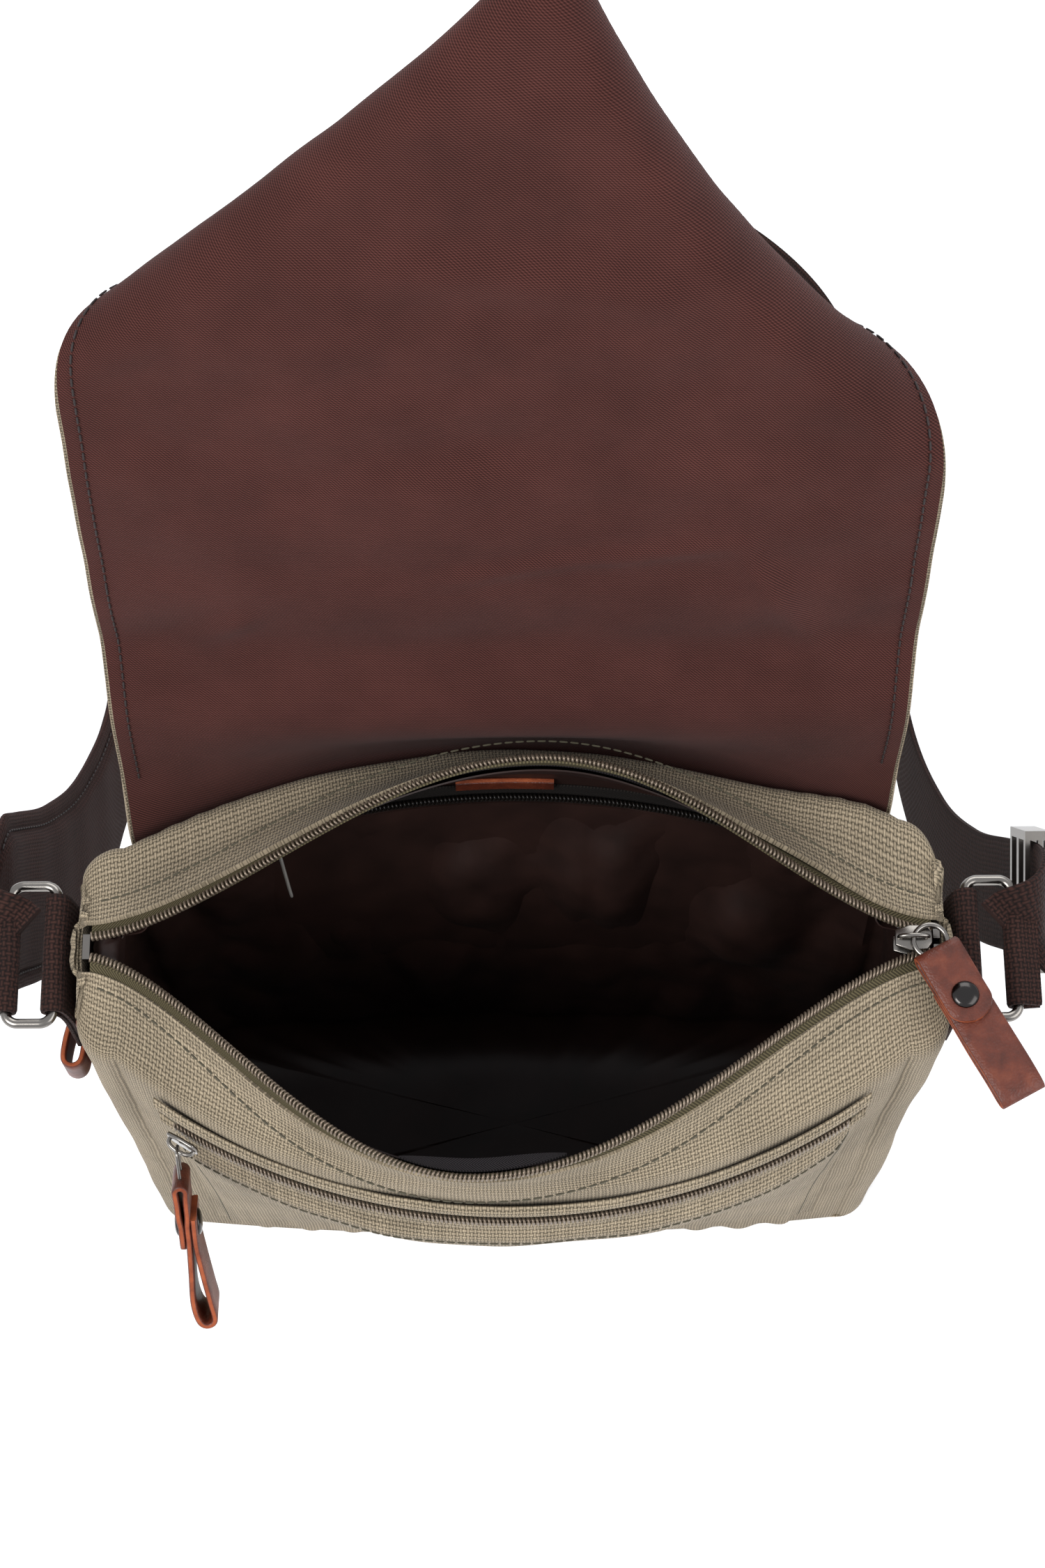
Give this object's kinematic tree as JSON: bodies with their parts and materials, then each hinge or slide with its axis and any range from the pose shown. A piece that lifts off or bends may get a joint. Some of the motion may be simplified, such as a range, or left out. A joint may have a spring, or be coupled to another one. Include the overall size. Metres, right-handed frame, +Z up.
{
  "type": "messenger bag",
  "caption": "Small canvas messenger bag standing open, its twill-lined flap raised, with a zipped mouth, zipped front pocket, leather pulls and a padded webbing shoulder strap.",
  "frame": {"origin": "on the floor under the centre of the bag's base", "axes": "+Z up, +Y towards the back (the flap's side), +X to the right seen from the front"},
  "size_m": [0.3454, 0.507, 0.5518],
  "materials": {
    "canvas": "washed plain-weave cotton canvas",
    "lining": "dark brown polyester lining",
    "twill": "dark red-brown cotton twill",
    "webbing": "dark brown coarse cotton webbing",
    "leather": "red-brown oiled leather with raw cut edges",
    "metal": "black-nickel plating",
    "coil": "bronze-brown polyester coil",
    "tape": "olive-brown herringbone zip tape",
    "binding": "black grosgrain",
    "board": "stiff fibre board",
    "foam": "closed-cell foam"
  },
  "bodies": {
    "bag": {"base_panel": "canvas", "base_board": "board", "front_panel": "canvas", "rear_panel": "canvas", "left_gusset": "canvas", "right_gusset": "canvas", "lining": "lining", "front_top_band": "canvas", "front_zip_tape": "tape", "front_zip_coil": "coil", "rear_top_band": "canvas", "rear_zip_tape": "tape", "rear_zip_coil": "coil", "zip_end_stops": "metal", "front_binding": "binding", "rear_binding": "binding", "front_pocket": "canvas", "pocket_zip_tape": "tape", "pocket_zip_coil": "coil", "inner_pocket_pouch": "lining", "inner_pocket_tape": "tape", "inner_pocket_coil": "coil", "label_strip": "leather", "slip_pocket": "lining", "flap_root": "canvas", "left_ring": "metal", "left_side_patch": "leather", "left_webbing_tab": "webbing", "right_ring": "metal", "right_side_patch": "leather", "right_webbing_tab": "webbing", "left_side_loop": "leather"},
    "flap_upper": {"flap_upper_lining": "twill", "flap_upper_canvas": "canvas"},
    "flap_lower": {"flap_lower_lining": "twill", "flap_lower_canvas": "canvas", "flap_corner_left": "canvas", "flap_corner_right": "canvas"},
    "strap": {"strap_webbing_right": "webbing", "strap_webbing_left": "webbing", "shoulder_pad_cover": "webbing", "shoulder_pad_foam": "foam", "strap_adjuster": "metal"},
    "main_slider": {"main_slider": "metal"},
    "main_ring": {"main_pull_ring": "metal"},
    "main_pull": {"main_pull_leather": "leather", "main_pull_rivet": "metal"},
    "pocket_slider": {"pocket_slider": "metal"},
    "pocket_pull": {"pocket_pull_link": "metal", "pocket_pull_leather": "leather", "pocket_pull_rivet": "metal"},
    "inner_slider": {"inner_slider": "metal"},
    "inner_pull": {"inner_pull": "metal"}
  },
  "joints": [
    {"name": "flap_lift", "type": "hinge", "parent": "bag", "child": "flap_upper", "pos_m": [0, 0.053, 0.284], "axis": [1, 0, 0], "range_deg": [0, 110]},
    {"name": "flap_fold", "type": "hinge", "parent": "flap_upper", "child": "flap_lower", "pos_m": [0, 0.09883, 0.40992], "axis": [1, 0, 0], "range_deg": [0, 66]},
    {"name": "strap_swing", "type": "hinge", "parent": "bag", "child": "strap", "pos_m": [0, 0, 0.235], "axis": [1, 0, 0], "range_deg": [0, 110]},
    {"name": "main_zip", "type": "slide", "parent": "bag", "child": "main_slider", "axis": [-1, 0, 0], "range_m": [0, 0.228]},
    {"name": "main_ring_lift", "type": "hinge", "parent": "main_slider", "child": "main_ring", "pos_m": [0.1245, 0, 0.2485], "axis": [-0.309, -0.9511, 0], "range_deg": [0, 101]},
    {"name": "main_pull_swing", "type": "hinge", "parent": "main_ring", "child": "main_pull", "pos_m": [0.13189, -0.0062, 0.2485], "axis": [-0.8829, -0.4695, 0], "range_deg": [0, 90]},
    {"name": "pocket_zip", "type": "hinge", "parent": "bag", "child": "pocket_slider", "pos_m": [0, 0.11392, 0.2205], "axis": [0, 0, 1], "range_deg": [0, 62]},
    {"name": "pocket_pull_swing", "type": "hinge", "parent": "pocket_slider", "child": "pocket_pull", "pos_m": [-0.10433, -0.05972, 0.2205], "axis": [-0.9976, -0.0698, 0], "range_deg": [-25, 45]},
    {"name": "inner_zip", "type": "hinge", "parent": "bag", "child": "inner_slider", "pos_m": [0, -0.19252, 0.207], "axis": [0, 0, -1], "range_deg": [0, 34]},
    {"name": "inner_pull_swing", "type": "hinge", "parent": "inner_slider", "child": "inner_pull", "pos_m": [-0.0768, 0.04533, 0.207], "axis": [-0.9517, -0.307, 0], "range_deg": [0, 70]}
  ],
  "couplings": [
    {"joint": "flap_fold", "follows": "flap_lift", "ratio": 0.6},
    {"joint": "main_ring_lift", "follows": "main_zip", "rad_per_m": 7.655}
  ]
}
